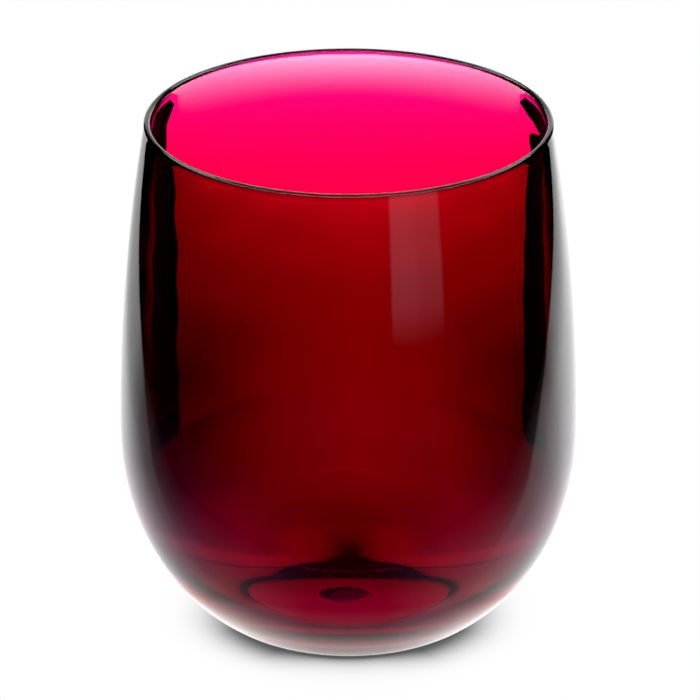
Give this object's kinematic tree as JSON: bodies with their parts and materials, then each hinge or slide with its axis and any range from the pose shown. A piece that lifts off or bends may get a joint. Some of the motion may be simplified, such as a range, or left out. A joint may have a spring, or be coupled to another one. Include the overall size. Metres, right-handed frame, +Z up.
{
  "type": "tumbler",
  "caption": "Round-bellied stemless drinking tumbler of see-through ruby acrylic, open at the mouth, with a thin floor and a standing ring.",
  "frame": {"origin": "middle of the standing ring, on the table", "axes": "+Z up along the axis of the bowl, towards the mouth"},
  "size_m": [0.095, 0.095, 0.1096],
  "materials": {
    "ruby_acrylic": "see-through ruby-dyed acrylic, moulded to a high polish inside and out"
  },
  "bodies": {
    "root": {"tumbler": "ruby_acrylic"}
  },
  "joints": []
}
